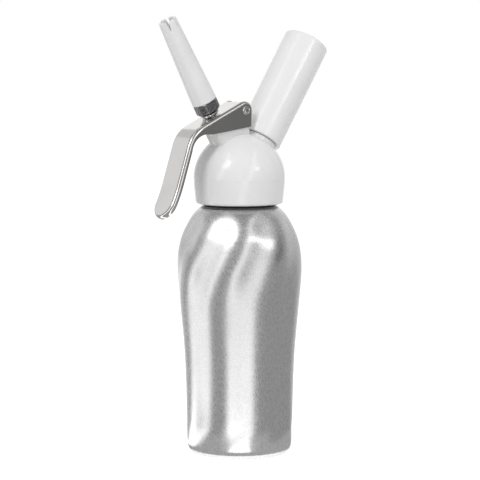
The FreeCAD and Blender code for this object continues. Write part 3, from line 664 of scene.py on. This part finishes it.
def area_light(name, spot, aim, size, power):
    data = bpy.data.lights.new(name, "AREA")
    data.shape = "RECTANGLE"
    data.size, data.size_y = size
    data.energy = power
    lamp = bpy.data.objects.new(name, data)
    lamp.location = spot
    lamp.rotation_euler = (Vector(aim) - Vector(spot)).to_track_quat("-Z", "Y").to_euler()
    lamp.visible_glossy = False
    bpy.context.scene.collection.objects.link(lamp)


def card(name, points, faces, brightness):
    """Studio card of an even brightness that only mirrors see."""
    mesh = bpy.data.meshes.new(name)
    mesh.from_pydata(points, [], faces)
    panel = bpy.data.objects.new(name, mesh)
    material, tree, shader = node_material(name)
    shader.inputs["Base Color"].default_value = (0.0, 0.0, 0.0, 1.0)
    shader.inputs["Specular IOR Level"].default_value = 0.0
    shader.inputs["Emission Color"].default_value = (1.0, 1.0, 1.0, 1.0)
    shader.inputs["Emission Strength"].default_value = brightness
    mesh.materials.append(material)
    panel.visible_camera = False
    panel.visible_diffuse = False
    panel.visible_shadow = False
    panel.visible_transmission = False
    panel.visible_volume_scatter = False
    bpy.context.scene.collection.objects.link(panel)


def in_studio(turn, distance, height):
    """A place in the studio: turned from the camera's side to the photograph's right, in degrees."""
    back, right = camera_axes()
    angle = math.radians(turn)
    return back * (math.cos(angle) * distance) + right * (math.sin(angle) * distance) + Vector((0, 0, height))


def ribbon_card(name, edges, brightness):
    """Card between pairs of edge points, which runs round the object or up past it."""
    points = [point for pair in edges for point in pair]
    faces = [(2 * i, 2 * i + 1, 2 * i + 3, 2 * i + 2) for i in range(len(edges) - 1)]
    card(name, points, faces, brightness)


def upright_card(name, turns, distance, low, high, brightness):
    """Upright card round the object, between two heights."""
    edges = [(in_studio(turn, distance, low), in_studio(turn, distance, high)) for turn in turns]
    ribbon_card(name, edges, brightness)


def level_card(name, turns, near, far, height, brightness):
    """Level card round the object, between two distances."""
    edges = [(in_studio(turn, near, height), in_studio(turn, far, height)) for turn in turns]
    ribbon_card(name, edges, brightness)


def strip_light(name, path, half_width, brightness):
    """Tall strip whose path gives its turn, distance and height, from the table beside the bottle upwards."""
    edges = []
    for (turn, distance, height), (next_turn, next_distance, next_height) in zip(path, path[1:]):
        for share in (0.0, 0.25, 0.5, 0.75):
            turn_here = turn + (next_turn - turn) * share
            distance_here = distance + (next_distance - distance) * share
            height_here = height + (next_height - height) * share
            half = half_width * (1 + BOTTLE_SPREAD / distance_here)
            edges.append([in_studio(turn_here + side * half, distance_here, height_here) for side in (-1, 1)])
    ribbon_card(name, edges, brightness)


def lights():
    aim = (0.0, 0.0, 0.15)
    area_light("softbox_left", in_studio(-31, 0.95, 0.95), aim, (0.30, 0.46), KEY_POWER)
    area_light("softbox_right", in_studio(50, 1.05, 0.75), aim, (0.30, 0.50), FILL_POWER)
    around = range(-120, 121, 10)
    upright_card("room_front", around, ROOM_DISTANCE, 0.0, ROOM_HEIGHT, ROOM_GREY)
    level_card("table_front", around, BOTTLE_FOOT, ROOM_DISTANCE, TABLE_HEIGHT, TABLE_GREY)
    for side in (-1, 1):
        behind = [side * turn for turn in (120, 130, 140, 150)]
        upright_card("room_side", behind, ROOM_DISTANCE, 0.0, ROOM_HEIGHT, SIDE_GREY)
        level_card("table_side", behind, BOTTLE_FOOT, ROOM_DISTANCE, TABLE_HEIGHT, SIDE_GREY)
    level_card("ceiling", range(-180, 181, 15), 0.01, CEILING_REACH, CEILING_HEIGHT, CEILING_GREY)
    left_path = [(-88, 0.04, 0.003), (-86, 0.2, 0.003), (-80, 0.6, 0.004), (-68, 0.6, 0.065), (-52, 0.6, 0.2),
                 (-38, 0.6, 0.5), (-33, 0.6, 0.62), (-45, 0.42, 0.88), (-84, 0.233, 1.02)]
    front_path = [(0, 0.04, 0.003), (1, 0.2, 0.003), (5, 0.6, 0.004), (12, 0.6, 0.065), (25, 0.6, 0.2),
                  (38, 0.6, 0.5), (44, 0.6, 0.62), (60, 0.5, 0.85), (103, 0.39, 0.96)]
    strip_light("strip_left", left_path, STRIP_HALF_WIDTH, STRIP_LEFT)
    strip_light("strip_front", front_path, STRIP_HALF_WIDTH, STRIP_FRONT)
    strip_light("strip_top", [(-40, 0.56, 0.44), (-33, 0.56, 0.60), (-34, 0.50, 0.72)], 9.0, STRIP_TOP)
    strip_light("strip_top_right", [(46, 0.56, 0.38), (50, 0.56, 0.50)], 5.0, STRIP_TOP)
    upright_card("lever_side", range(-130, -94, 5), 0.8, 0.24, 0.66, LEVER_GREY)
    upright_card("dark_side", range(55, 91, 5), 0.35, 0.14, 0.34, DARK_GREY)
    for name, path in (("glow_left", left_path), ("glow_front", front_path)):
        behind_strip = [(turn, distance * GLOW_BEHIND, height - 0.0005) for turn, distance, height in path]
        strip_light(name, behind_strip, GLOW_HALF_WIDTH, STRIP_GLOW)
    level_card("table_foot", around, BOTTLE_FOOT, 0.07, TABLE_HEIGHT + 0.0002, FOOT_GREY)


bpy.context.scene.view_settings.view_transform = "Standard"
dress_cad_nodes()
bottle()
nozzle_collar()
nozzle()
return_spring()
floor()
world()
camera()
lights()
